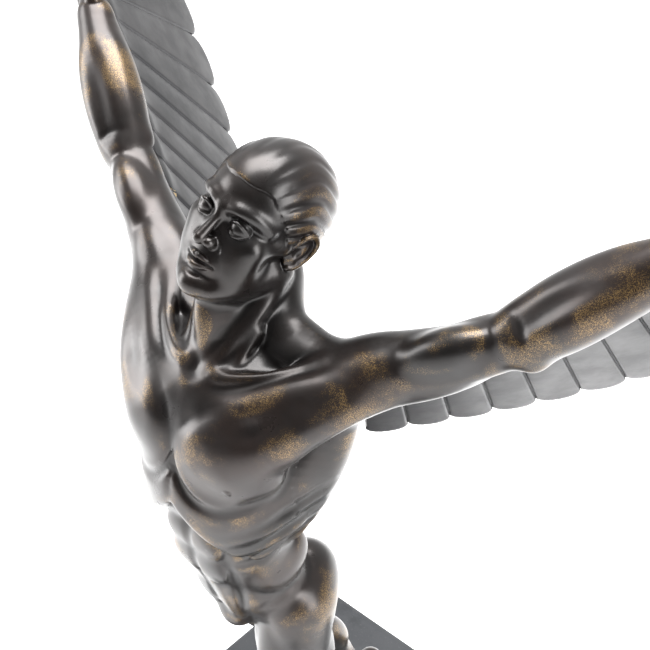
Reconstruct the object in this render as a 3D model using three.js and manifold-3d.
// Winged-figure mascot: a cast athlete striding off the ball of one foot, with a feathered wing screwed
// behind each raised arm, standing on a square display plinth.
// Millimetres, +Z up. The origin is the middle of the felt pad's underside; the figure faces -Y.
import * as THREE from "three";
import { mergeVertices } from "three/addons/utils/BufferGeometryUtils.js";
import Module from "manifold-3d";

const wasm = await Module();
wasm.setup();

// ---- Driving dimensions, in millimetres ----
const FIGURE_HEIGHT = 216;
const PLINTH = { width: 116, depth: 122, height: 18, bevel: 1.2 };
const FELT = { thickness: 1.5, inset: 3 };
const GAP = 0.3; // left between pieces that touch
const STUD = { radius: 2, left_reach: 12, right_reach: 6 };
const NUT = { across_corners: 8.1, height: 3.2 };
const WASHER = { radius: 4.5, thickness: 0.8 };
const COUNTERBORE = { radius: 6, depth: 7 };
const SHOULDER_PIN = { radius: 1.6, length: 15 };
const HIP_PIN = { radius: 1.8, length: 16 };
const WING_SCREW = { head_radius: 1.6, head_height: 1, radius: 0.9, length: 5.2 };

// The figure is laid out in life-size centimetres for a man 180 cm tall, from its own foot line.
const LIFE_HEIGHT = 180;
const U = FIGURE_HEIGHT / LIFE_HEIGHT;
const FIGURE_Y = -12 * U; // the stride is longer behind the standing foot than in front of it
const PLINTH_TOP = FELT.thickness + PLINTH.height;

// ---- Skeleton, in life-size centimetres: x to the figure's left, y to its back ----
const degrees = THREE.MathUtils.degToRad;
const at = (x, y, z) => new THREE.Vector3(x, y, z);
const mirrored = (p, side) => at(p.x * side, p.y, p.z);
const between = (a, b, share) => a.clone().lerp(b, share);

// A unit vector out to the left, raised and swept back by the given angles.
function reach(raised, swept) {
  const e = degrees(raised);
  const s = degrees(swept);
  return at(Math.cos(e) * Math.cos(s), Math.cos(e) * Math.sin(s), Math.sin(e));
}

// The back is arched: the ribcage is laid out upright, then moved forward and tipped back.
const RIBCAGE = { upright: at(0, -2.5, 131), centre: at(0, -9.5, 130), tip: 4 };
const RIBCAGE_TURN = new THREE.Quaternion().setFromAxisAngle(at(1, 0, 0), degrees(-RIBCAGE.tip));
const ribs = (p) => p.clone().sub(RIBCAGE.upright).applyQuaternion(RIBCAGE_TURN).add(RIBCAGE.centre);

const UPPER_ARM = { length: 30, direction: reach(30, 24) };
const FOREARM = { length: 26, direction: reach(41, 28) };
const HAND = { length: 18, direction: reach(38, 30) };
const SHOULDER = ribs(at(20.5, 5, 150));
const ELBOW = SHOULDER.clone().addScaledVector(UPPER_ARM.direction, UPPER_ARM.length);
const WRIST = ELBOW.clone().addScaledVector(FOREARM.direction, FOREARM.length);
const FINGERTIP = WRIST.clone().addScaledVector(HAND.direction, HAND.length);
const HIP = at(8, -3, 91);
const LEFT_LEG = { knee: at(8, -2, 50), ankle: at(7.5, 3, 9), ball: at(8.5, -11, 2.6) };
const RIGHT_LEG = { knee: at(-8.2, 16.5, 52.5), ankle: at(-7.8, 35.5, 16.5), ball: at(-7.8, 30.5, 3.4) };
const HEAD_CENTRE = at(-1, 0.3, 169);
const HEAD_SCALE = 1.14; // a little over an eighth of the height, as on most small bronzes
const HEAD_TURN = { back: 26, right: 4, lean: 10 };

// ---- Solids ----
const RADIAL_STEPS = 12;
const CAP_STEPS = 3;

// A closed three.js geometry as a manifold-3d solid.
function solid(geometry) {
  const loose = geometry.index ? geometry.toNonIndexed() : geometry.clone();
  loose.deleteAttribute("normal");
  loose.deleteAttribute("uv");
  const merged = mergeVertices(loose, 1e-4);
  const index = merged.index.array;
  const kept = [];
  for (let i = 0; i < index.length; i += 3) {
    const [a, b, c] = index.slice(i, i + 3);
    if (a !== b && b !== c && a !== c) kept.push(a, b, c);
  }
  return new wasm.Manifold(
    new wasm.Mesh({
      numProp: 3,
      vertProperties: merged.attributes.position.array,
      triVerts: new Uint32Array(kept),
    }),
  );
}

const joined = (solids) => solids.reduce((all, next) => all.add(next));

// A manifold-3d solid as a named mesh, without the crumbs that cuts can leave beside it.
function mesh(name, made, material) {
  const largest = made.decompose().reduce((a, b) => (b.volume() > a.volume() ? b : a));
  const data = largest.getMesh();
  const geometry = new THREE.BufferGeometry();
  const positions = new THREE.BufferAttribute(new Float32Array(data.vertProperties), 3);
  geometry.setAttribute("position", positions);
  geometry.setIndex(new THREE.BufferAttribute(data.triVerts, 1));
  geometry.computeVertexNormals();
  const piece = new THREE.Mesh(geometry, material);
  piece.name = name;
  return piece;
}

// A turn that carries +Y onto the line from a to b.
function along(a, b) {
  const direction = b.clone().sub(a).normalize();
  return new THREE.Quaternion().setFromUnitVectors(at(0, 1, 0), direction);
}

// A round-ended tapered rod from a (radius ra) to b (radius rb), given in life-size centimetres.
function limb(a, b, ra, rb) {
  const length = a.distanceTo(b);
  const lean = Math.asin(THREE.MathUtils.clamp((ra - rb) / length, -1, 1));
  const profile = [];
  for (let i = 0; i <= CAP_STEPS; i += 1) {
    const turn = -Math.PI / 2 + (i / CAP_STEPS) * (Math.PI / 2 + lean);
    profile.push(new THREE.Vector2(Math.abs(Math.cos(turn)) * ra, Math.sin(turn) * ra));
  }
  for (let i = 0; i <= CAP_STEPS; i += 1) {
    const turn = lean + (i / CAP_STEPS) * (Math.PI / 2 - lean);
    profile.push(new THREE.Vector2(Math.abs(Math.cos(turn)) * rb, length + Math.sin(turn) * rb));
  }
  profile[0].x = 0;
  profile[profile.length - 1].x = 0;
  const rod = new THREE.LatheGeometry(profile, RADIAL_STEPS);
  rod.applyQuaternion(along(a, b)).translate(a.x, a.y, a.z).scale(U, U, U);
  return solid(rod);
}

// A chain of tapered rods through the points, whose radii are listed in step with them.
function chain(points, radii) {
  const rods = [];
  for (let i = 1; i < points.length; i += 1) {
    rods.push(limb(points[i - 1], points[i], radii[i - 1], radii[i]));
  }
  return joined(rods);
}

// An ellipsoid with its half-sizes along x, y and z, turned by the quaternion.
function bulk(centre, half, turn = new THREE.Quaternion()) {
  const ball = new THREE.SphereGeometry(1, 14, 10);
  ball.scale(half.x, half.y, half.z).applyQuaternion(turn);
  ball.translate(centre.x, centre.y, centre.z).scale(U, U, U);
  return solid(ball);
}

const pitch = (angle) => new THREE.Quaternion().setFromAxisAngle(at(1, 0, 0), degrees(angle));
const bank = (angle) => new THREE.Quaternion().setFromAxisAngle(at(0, 1, 0), degrees(angle));
const swivel = (angle) => new THREE.Quaternion().setFromAxisAngle(at(0, 0, 1), degrees(angle));

// A cylinder of the given radius in millimetres, from a to b in life-size centimetres.
function rod(a, b, radius, sides = 20) {
  const length = a.distanceTo(b) * U;
  const made = new THREE.CylinderGeometry(radius, radius, length, sides);
  const middle = between(a, b, 0.5).multiplyScalar(U);
  made.applyQuaternion(along(a, b)).translate(middle.x, middle.y, middle.z);
  return solid(made);
}

// A block of half-size `half` (life-size centimetres) whose local axes are turned by `turn`.
function block(centre, half, turn = new THREE.Quaternion()) {
  const box = new THREE.BoxGeometry(2 * half.x, 2 * half.y, 2 * half.z);
  box.applyQuaternion(turn).translate(centre.x, centre.y, centre.z).scale(U, U, U);
  return solid(box);
}

// Everything beyond the plane through `point` that faces `normal`, out to `far` centimetres.
function beyond(point, normal, far = 120, gap = 0) {
  const centre = point.clone().addScaledVector(normal, far + gap / U);
  return block(centre, at(far, far, far), along(at(0, 0, 0), normal));
}

// ---- The figure's castings ----
const SHOULDER_JOINT = SHOULDER.clone().addScaledVector(UPPER_ARM.direction, 0.5);
const THIGH_DIRECTION = RIGHT_LEG.knee.clone().sub(mirrored(HIP, -1)).normalize();
const HIP_JOINT = mirrored(HIP, -1).addScaledVector(THIGH_DIRECTION, 6);

function head() {
  const turn = swivel(-HEAD_TURN.right).multiply(bank(HEAD_TURN.lean)).multiply(pitch(-HEAD_TURN.back));
  const place = (x, y, z) => at(x, y, z).multiplyScalar(HEAD_SCALE).applyQuaternion(turn).add(HEAD_CENTRE);
  const size = (x, y, z) => at(x, y, z).multiplyScalar(HEAD_SCALE);
  const skull = bulk(place(0, 1.6, 2.6), size(7.5, 9.4, 8.4), turn);
  const face = bulk(place(0, -2.6, -3.2), size(6.3, 6.6, 8.2), turn);
  const jaw = bulk(place(0, -5.6, -8.4), size(4.3, 3.6, 2.9), turn);
  const nose = chain([place(0, -8.6, 0.2), place(0, -10.6, -3.6)], [0.9, 1.5]);
  const ears = [1, -1].map((side) => bulk(place(7.4 * side, 1, -1.4), size(0.9, 1.9, 3.3), turn));
  return joined([skull, face, jaw, nose, ...ears]);
}

function torso() {
  const both = (make) => [1, -1].map(make);
  const chest = joined([
    bulk(at(0, -2.5, 131), at(16, 12, 18.5), pitch(-6)),
    chain([at(-13, 3, 145.5), at(13, 3, 145.5)], [7.6, 7.6]),
    ...both((s) => bulk(at(8.4 * s, -9, 138.5), at(10, 6, 8), pitch(-14))),
    ...both((s) => bulk(at(14.2 * s, 3, 135), at(6.2, 7.2, 15.5), bank(-7 * s))),
    ...both((s) => limb(at(4 * s, 5, 154), at(17 * s, 5, 152), 4.8, 5.2)),
  ]);
  const turn = new THREE.Matrix4().makeRotationFromQuaternion(RIBCAGE_TURN);
  const from = RIBCAGE.upright.clone().multiplyScalar(-U);
  const to = RIBCAGE.centre.clone().multiplyScalar(U);
  const nape = ribs(at(0, 4.5, 149));
  return joined([
    chest.translate(from.toArray()).transform(turn.elements).translate(to.toArray()),
    bulk(at(0, -9.5, 111), at(11.4, 9, 16), pitch(8)),
    bulk(at(0, -5.2, 97), at(12.8, 9.4, 10), pitch(10)),
    ...both((s) => bulk(at(6.7 * s, 1.8, 92), at(7.2, 7.2, 8.4))),
    limb(nape, between(nape, HEAD_CENTRE, 0.62), 6.8, 6.1),
  ]);
}

function foot(leg, flat) {
  const side = Math.sign(leg.ankle.x);
  if (flat) {
    const heel = at(leg.ankle.x, leg.ankle.y + 4.6, 3);
    const toes = at(leg.ball.x + 0.6 * side, leg.ball.y - 5.6, 1.6);
    return joined([
      limb(leg.ankle, heel, 3.5, 3.1),
      limb(leg.ankle, leg.ball, 3.6, 3),
      limb(heel, leg.ball, 2.8, 2.9),
      limb(leg.ball, toes, 3.1, 2),
      bulk(at(leg.ball.x, leg.ball.y + 1, 2.2), at(4.6, 6.4, 2.4)),
    ]);
  }
  const heel = at(leg.ankle.x, leg.ankle.y + 6.4, leg.ankle.z + 0.6);
  const toes = at(leg.ball.x, leg.ball.y - 7, 1.6);
  return joined([
    limb(leg.ankle, heel, 3.6, 3),
    limb(heel, leg.ball, 2.8, 2.8),
    limb(leg.ankle, leg.ball, 3.5, 3.1),
    limb(leg.ball, toes, 3, 1.9),
    bulk(at(leg.ball.x, leg.ball.y - 1, 2.6), at(4.4, 4.6, 2.6)),
  ]);
}

function leg(hip, joints, flat) {
  const thigh = between(hip, joints.knee, 0.4);
  const calf = between(joints.knee, joints.ankle, 0.3);
  const shin = joints.ankle.clone().sub(joints.knee).normalize();
  const rear = shin.clone().cross(at(1, 0, 0)).normalize();
  return joined([
    chain([hip, thigh, joints.knee], [8.8, 7.9, 5.5]),
    bulk(joints.knee.clone().addScaledVector(rear, -1.2), at(4.9, 4.8, 5.6)),
    chain([joints.knee, calf, joints.ankle], [5.2, 5.1, 3.1]),
    bulk(calf.clone().addScaledVector(rear, 1.9), at(4.6, 9, 4.4), along(joints.knee, joints.ankle)),
    foot(joints, flat),
  ]);
}

const FLOOR = beyond(at(0, 0, 0), at(0, 0, -1));

function bodyCasting() {
  const trunk = torso()
    .subtract(beyond(SHOULDER_JOINT, UPPER_ARM.direction, 60))
    .subtract(beyond(mirrored(SHOULDER_JOINT, -1), mirrored(UPPER_ARM.direction, -1), 60))
    .subtract(wingSeat(1))
    .subtract(wingSeat(-1));
  const whole = joined([trunk, head(), leg(HIP, LEFT_LEG, true), bulk(mirrored(HIP, -1), at(8.6, 8.6, 9))]);
  const hipSide = block(at(-60 + 0.4, 0, 90), at(60, 90, 90));
  const legSpace = beyond(HIP_JOINT, THIGH_DIRECTION).intersect(hipSide);
  return whole
    .subtract(legSpace)
    .subtract(pinHole(shoulderPin(1), SHOULDER_PIN))
    .subtract(pinHole(shoulderPin(-1), SHOULDER_PIN))
    .subtract(pinHole(hipPin(), HIP_PIN))
    .subtract(rod(...studLine(LEFT_LEG, STUD.left_reach), STUD.radius + GAP))
    .subtract(FLOOR);
}

function rightLegCasting() {
  const whole = leg(mirrored(HIP, -1), RIGHT_LEG, false);
  const ownSide = block(at(-60 - GAP / U, 0, 90), at(60, 90, 92));
  return whole
    .intersect(beyond(HIP_JOINT, THIGH_DIRECTION, 120, GAP))
    .intersect(ownSide)
    .subtract(pinHole(hipPin(), HIP_PIN))
    .subtract(rod(...studLine(RIGHT_LEG, STUD.right_reach), STUD.radius + GAP))
    .subtract(FLOOR);
}

function armCasting(side) {
  const line = [SHOULDER, between(SHOULDER, ELBOW, 0.45), ELBOW, between(ELBOW, WRIST, 0.25), WRIST];
  const arm = chain(line.map((p) => mirrored(p, side)), [6.8, 6.4, 5.3, 5.8, 3.9]);
  const palmTurn = handTurn(side);
  const palm = mirrored(WRIST.clone().addScaledVector(HAND.direction, 5), side);
  const fingers = mirrored(WRIST.clone().addScaledVector(HAND.direction, 12.5), side);
  const whole = joined([
    arm,
    bulk(mirrored(SHOULDER.clone().addScaledVector(UPPER_ARM.direction, 3), side), at(8, 7.4, 7.2)),
    bulk(palm, at(5.4, 1.9, 4.1), palmTurn),
    bulk(fingers, at(6, 1.3, 3.5), palmTurn),
  ]);
  return whole
    .intersect(beyond(mirrored(SHOULDER_JOINT, side), mirrored(UPPER_ARM.direction, side), 120, GAP))
    .subtract(wingSeat(side))
    .subtract(pinHole(shoulderPin(side), SHOULDER_PIN))
    .subtract(joined(screwLines(side).map(([a, b]) => rod(a, b, WING_SCREW.radius + GAP, 12))));
}

// ---- Wings: feathers fanned in a plane that lies against the back of the arm ----
const SPAN_AXIS = WRIST.clone().sub(SHOULDER).normalize();
const TRAILING = at(0, 0.66, -0.75); // straight back and down, before it is squared to the span
const CHORD_AXIS = TRAILING.clone().addScaledVector(SPAN_AXIS, -TRAILING.dot(SPAN_AXIS)).normalize();
const PLATE_AXIS = SPAN_AXIS.clone().cross(CHORD_AXIS).normalize();
const WING = {
  front: 0.8, // where the plate's front face lies behind the line of the arm
  edge: 0.6, // the highest point of the leading edge, below the line of the arm
  thickness: 1.5,
  root: -1,
  tip: 84,
  feathers: 14,
  shingle: 3,
};

// A point of the wing: span and chord distances from the shoulder joint, and depth behind it.
function wingPoint(side, span, chord, depth) {
  const p = SHOULDER.clone()
    .addScaledVector(SPAN_AXIS, span)
    .addScaledVector(CHORD_AXIS, chord)
    .addScaledVector(PLATE_AXIS, depth);
  return mirrored(p, side);
}

// The room behind the wing's front face, which leaves flat seats for it on the castings.
const wingSeat = (side) => block(wingPoint(side, 40, WING.edge + 20, WING.front + 15), at(56, 20, 15), wingTurn(side));

// The turn from the wing's span, chord and depth axes to the figure's axes, for a symmetric solid.
function wingTurn(side) {
  const axes = [SPAN_AXIS, CHORD_AXIS, PLATE_AXIS].map((axis) => mirrored(axis, side));
  if (side < 0) axes[2].negate();
  const basis = new THREE.Matrix4().makeBasis(axes[0], axes[1], side < 0 ? axes[0].clone().cross(axes[1]) : axes[2]);
  return new THREE.Quaternion().setFromRotationMatrix(basis);
}

// The hand lies flat on the wing: its length runs along x, its thickness along y.
function handTurn(side) {
  const length = mirrored(HAND.direction, side);
  const thick = mirrored(PLATE_AXIS, side);
  const across = length.clone().cross(thick).normalize();
  const flat = across.clone().cross(length).normalize();
  const basis = new THREE.Matrix4().makeBasis(length, flat, length.clone().cross(flat));
  return new THREE.Quaternion().setFromRotationMatrix(basis);
}

// How far below the line of the arm the spar runs: it bows with the bend of the elbow.
const leadingEdge = (span) => 2.4 + 1.2 * Math.sin(Math.PI * Math.min(1, Math.max(0, span) / 56));

// The line between feathers k-1 and k, as a root and a tip in span and chord distances.
function featherLine(k) {
  const share = k / WING.feathers;
  const root = WING.root + (WING.tip - WING.root) * share ** 0.95;
  const sweep = degrees(33 - 44 * share - 156 * Math.max(0, share - 0.55) ** 1.4);
  const length = 29 + 12 * share + 8 * Math.sin(Math.PI * share);
  const chord = leadingEdge(root);
  return {
    root: new THREE.Vector2(root, chord),
    tip: new THREE.Vector2(root - Math.sin(sweep) * length, chord + Math.cos(sweep) * length),
  };
}

// One feather's outline, a little wider than its own strip so that it passes under the next.
function featherShape(k) {
  const near = featherLine(k);
  const far = featherLine(k + 1);
  const overlap = far.root.clone().sub(near.root).multiplyScalar(0.06);
  const end = far.tip.clone().add(near.tip).multiplyScalar(0.5);
  const outward = near.tip.clone().sub(near.root).normalize();
  const crown = end.clone().addScaledVector(outward, 1.6);
  const corner = far.tip.clone().addScaledVector(outward, 0.9);
  const shape = new THREE.Shape();
  shape.moveTo(near.root.x - overlap.x, near.root.y - overlap.y);
  shape.lineTo(near.tip.x - overlap.x, near.tip.y - overlap.y);
  shape.quadraticCurveTo(crown.x, crown.y, corner.x, corner.y);
  shape.lineTo(far.tip.x + overlap.x, far.tip.y + overlap.y);
  shape.lineTo(far.root.x + overlap.x, far.root.y + overlap.y);
  shape.closePath();
  return shape;
}

function wing(side) {
  const frame = new THREE.Matrix4().makeBasis(SPAN_AXIS, CHORD_AXIS, PLATE_AXIS).setPosition(SHOULDER);
  const feathers = [];
  for (let k = 0; k < WING.feathers; k += 1) {
    const options = { depth: WING.thickness, bevelEnabled: false, curveSegments: 4 };
    const feather = new THREE.ExtrudeGeometry(featherShape(k), options);
    const { root, tip } = featherLine(k + 0.5);
    const shaft = at(tip.x - root.x, tip.y - root.y, 0).normalize();
    const tilt = new THREE.Quaternion().setFromAxisAngle(shaft, degrees(WING.shingle));
    feather.translate(-root.x, -root.y, 0).applyQuaternion(tilt).translate(root.x, root.y, WING.front + 0.3);
    feather.applyMatrix4(frame).scale(U, U, U);
    feathers.push(solid(feather));
  }
  const sparLine = [0, 3, 6, 9, 12, 14].map((k) => featherLine(k).root);
  const sparRadii = [1, 1.1, 1.1, 1, 0.9, 0.7];
  const spar = sparLine.slice(1).map((p, i) => {
    const a = wingPoint(1, sparLine[i].x, sparLine[i].y, WING.front + 0.75);
    const b = wingPoint(1, p.x, p.y, WING.front + 0.75);
    return limb(a, b, sparRadii[i], sparRadii[i + 1]);
  });
  let made = joined([...feathers, ...spar]);
  // The spar and the feathers' high edges are faced off flat where they seat against the arm.
  made = made.subtract(block(wingPoint(1, 40, 0, WING.front - 20 + GAP / U), at(90, 90, 20), wingTurn(1)));
  made = made.subtract(joined(screwLines(1).map(([a, b]) => rod(a, b, WING_SCREW.radius + GAP, 12))));
  made = made.subtract(joined(screwLines(1).map(([a]) => {
    const floor = a.clone().addScaledVector(PLATE_AXIS, -4 - GAP / U);
    return rod(floor, a, WING_SCREW.head_radius + GAP, 20);
  })));
  return side > 0 ? made : made.mirror([1, 0, 0]);
}

// ---- Fasteners ----
const SCREW_SPANS = [8, 18, 48];
const SCREW_BACK = WING.front + 0.9; // the floor of a screw's counterbore
const screwChord = (span) => leadingEdge(span) + 0.7;

// The centre lines of one wing's screws, from behind the plate into the arm.
function screwLines(side) {
  return SCREW_SPANS.map((span) => [
    wingPoint(side, span, screwChord(span), SCREW_BACK + 4),
    wingPoint(side, span, screwChord(span), SCREW_BACK - WING_SCREW.length / U - GAP / U),
  ]);
}

function wingScrew(side, span) {
  const headBottom = wingPoint(side, span, screwChord(span), SCREW_BACK);
  const headTop = wingPoint(side, span, screwChord(span), SCREW_BACK + WING_SCREW.head_height / U);
  const end = wingPoint(side, span, screwChord(span), SCREW_BACK - WING_SCREW.length / U);
  const screwHead = rod(headBottom, headTop, WING_SCREW.head_radius, 16);
  const slot = block(headTop, at(0.24, WING_SCREW.head_radius, 0.4), wingTurn(side));
  return screwHead.add(rod(headTop, end, WING_SCREW.radius, 12)).subtract(slot);
}

function shoulderPin(side) {
  const half = SHOULDER_PIN.length / U / 2;
  return [-half, half].map((d) =>
    mirrored(SHOULDER_JOINT.clone().addScaledVector(UPPER_ARM.direction, d), side),
  );
}

function hipPin() {
  const half = HIP_PIN.length / U / 2;
  return [-half, half].map((d) => HIP_JOINT.clone().addScaledVector(THIGH_DIRECTION, d));
}

// The socket for a pin, a little longer and wider than the pin at both ends.
function pinHole([a, b], pin) {
  const direction = b.clone().sub(a).normalize();
  const spare = GAP / U;
  const start = a.clone().addScaledVector(direction, -spare);
  const end = b.clone().addScaledVector(direction, spare);
  return rod(start, end, pin.radius + GAP, 16);
}

// Where a foot's stud stands, from below the plinth's counterbore to its end inside the foot.
function studLine(joints, reachUp) {
  const x = joints.ankle.x;
  const y = joints === LEFT_LEG ? joints.ankle.y : joints.ball.y + 0.5;
  const bottom = (COUNTERBORE.depth - NUT.height - WASHER.thickness - 1.5 - PLINTH.height) / U;
  return [at(x, y, bottom), at(x, y, reachUp / U)];
}

const STUDS = [
  { name: "left", joints: LEFT_LEG, reach: STUD.left_reach },
  { name: "right", joints: RIGHT_LEG, reach: STUD.right_reach },
];

function cylinderAt(x, y, low, high, radius, sides = 24) {
  const made = new THREE.CylinderGeometry(radius, radius, high - low, sides);
  made.rotateX(Math.PI / 2).translate(x, y, (low + high) / 2);
  return solid(made);
}

// ---- Display base, in the part's own frame ----
function studPlace({ joints }) {
  const [bottom] = studLine(joints, 0);
  return { x: bottom.x * U, y: bottom.y * U + FIGURE_Y };
}

function plinth() {
  const { width, depth, height, bevel } = PLINTH;
  const shape = new THREE.Shape();
  const halfWidth = width / 2 - bevel;
  const halfDepth = depth / 2 - bevel;
  shape.moveTo(-halfWidth, -halfDepth);
  shape.lineTo(halfWidth, -halfDepth);
  shape.lineTo(halfWidth, halfDepth);
  shape.lineTo(-halfWidth, halfDepth);
  shape.closePath();
  const slab = new THREE.ExtrudeGeometry(shape, {
    depth: height - 2 * bevel,
    bevelThickness: bevel,
    bevelSize: bevel,
    bevelSegments: 2,
  });
  slab.translate(0, 0, FELT.thickness + bevel);
  let made = solid(slab);
  STUDS.forEach((stud) => {
    const { x, y } = studPlace(stud);
    made = made.subtract(cylinderAt(x, y, 0, PLINTH_TOP + 1, STUD.radius + GAP));
    made = made.subtract(cylinderAt(x, y, 0, FELT.thickness + COUNTERBORE.depth, COUNTERBORE.radius));
  });
  return made;
}

function feltPad() {
  const { width, depth } = PLINTH;
  const sheet = new THREE.BoxGeometry(width - 2 * FELT.inset, depth - 2 * FELT.inset, FELT.thickness);
  return solid(sheet.translate(0, 0, FELT.thickness / 2));
}

function washer(stud) {
  const { x, y } = studPlace(stud);
  const top = FELT.thickness + COUNTERBORE.depth - GAP / 2;
  const disc = cylinderAt(x, y, top - WASHER.thickness, top, WASHER.radius);
  return disc.subtract(cylinderAt(x, y, 0, PLINTH_TOP, STUD.radius + GAP / 2));
}

function nut(stud) {
  const { x, y } = studPlace(stud);
  const top = FELT.thickness + COUNTERBORE.depth - WASHER.thickness - GAP;
  const hexagon = cylinderAt(x, y, top - NUT.height, top, NUT.across_corners / 2, 6);
  return hexagon.subtract(cylinderAt(x, y, 0, PLINTH_TOP, STUD.radius + GAP / 2));
}

// ---- Materials ----
const metal = (color, roughness) => new THREE.MeshStandardMaterial({ color, roughness, metalness: 0.9 });
const plain = (color, roughness) => new THREE.MeshStandardMaterial({ color, roughness, metalness: 0 });
const BRONZE = metal(0x3a3430, 0.3);
const WING_BRONZE = metal(0x55534f, 0.45);
const STEEL = metal(0x9a9a98, 0.35);
const BRASS = metal(0xb08d4a, 0.35);
const LACQUER = plain(0x1b1d20, 0.25);
const FELT_GREEN = plain(0x1d2a24, 0.95);

// ---- Assembly ----
const figure = new THREE.Group();
figure.position.set(0, FIGURE_Y, PLINTH_TOP + GAP);
figure.add(mesh("body_casting", bodyCasting(), BRONZE));
figure.add(mesh("right_leg_casting", rightLegCasting(), BRONZE));
figure.add(mesh("hip_pin", rod(...hipPin(), HIP_PIN.radius, 16), STEEL));
[[1, "left"], [-1, "right"]].forEach(([side, name]) => {
  figure.add(mesh(`${name}_arm_casting`, armCasting(side), BRONZE));
  figure.add(mesh(`${name}_shoulder_pin`, rod(...shoulderPin(side), SHOULDER_PIN.radius, 16), STEEL));
  figure.add(mesh(`${name}_wing`, wing(side), WING_BRONZE));
  SCREW_SPANS.forEach((span, i) => {
    figure.add(mesh(`${name}_wing_screw_${i + 1}`, wingScrew(side, span), BRASS));
  });
});

const part = new THREE.Group();
part.add(figure);
part.add(mesh("plinth", plinth(), LACQUER));
part.add(mesh("felt_pad", feltPad(), FELT_GREEN));
STUDS.forEach((stud) => {
  figure.add(mesh(`${stud.name}_foot_stud`, rod(...studLine(stud.joints, stud.reach - GAP), STUD.radius), STEEL));
  part.add(mesh(`${stud.name}_foot_washer`, washer(stud), STEEL));
  part.add(mesh(`${stud.name}_foot_nut`, nut(stud), STEEL));
});

export default part;
